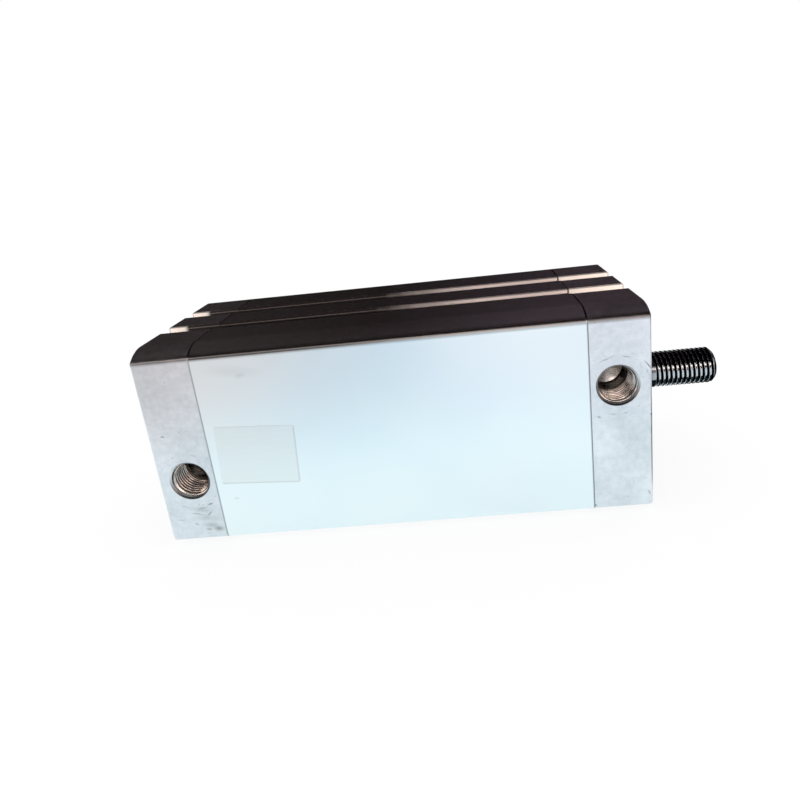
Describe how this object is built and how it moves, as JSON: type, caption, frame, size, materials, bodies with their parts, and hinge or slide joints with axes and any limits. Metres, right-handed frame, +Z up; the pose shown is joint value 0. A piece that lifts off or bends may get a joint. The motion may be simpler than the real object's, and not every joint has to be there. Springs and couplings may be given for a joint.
{
  "type": "compact pneumatic cylinder",
  "caption": "Compact double-acting pneumatic cylinder with a square slotted aluminium barrel, flat end caps with side air ports and a threaded piston rod.",
  "frame": {"origin": "where the rod's axis crosses the mounting face of the bearing cap", "axes": "+X along the rod, out of the body; -Y is the flat side with the air ports; +Z up, with the cylinder lying on a slotted side"},
  "size_m": [0.1501, 0.0544, 0.0544],
  "materials": {
    "barrel_aluminium": "smooth clear-anodised extrusion",
    "cap_aluminium": "anodised, slightly duller than the barrel, scuffed round the ports",
    "rod_steel": "ground and polished high-alloy steel, rolled thread",
    "zinc_plated_steel": "zinc plated",
    "seal_rubber": "matt black elastomer",
    "buffer_polyurethane": "matt polyurethane",
    "bearing_bronze": "sintered bronze",
    "piston_aluminium": "machined",
    "magnet_compound": "plastic-bonded ferrite",
    "guide_plastic": "plain polymer band"
  },
  "bodies": {
    "cylinder_body": {"barrel": "barrel_aluminium", "bearing_cap": "cap_aluminium", "end_cap": "cap_aluminium", "front_collar_screws": "zinc_plated_steel", "rear_collar_screws": "zinc_plated_steel", "front_barrel_o_ring": "seal_rubber", "rear_barrel_o_ring": "seal_rubber", "front_buffer": "buffer_polyurethane", "rear_buffer": "buffer_polyurethane", "rod_bearing_bush": "bearing_bronze", "rod_wiper_seal": "seal_rubber"},
    "piston_rings": {"piston_front_seal": "seal_rubber", "piston_rear_seal": "seal_rubber", "piston_guide_ring": "guide_plastic"},
    "rod_set": {"piston_rod": "rod_steel", "piston_front_half": "piston_aluminium", "piston_rear_half": "piston_aluminium", "piston_magnet": "magnet_compound", "piston_o_ring": "seal_rubber", "piston_nut": "zinc_plated_steel"}
  },
  "joints": [
    {"name": "rod_stroke", "type": "slide", "parent": "cylinder_body", "child": "piston_rings", "axis": [1, 0, 0], "range_m": [0, 0.08]},
    {"name": "rod_turn", "type": "hinge", "parent": "piston_rings", "child": "rod_set", "pos_m": [0, 0, 0], "axis": [1, 0, 0], "continuous": true}
  ]
}
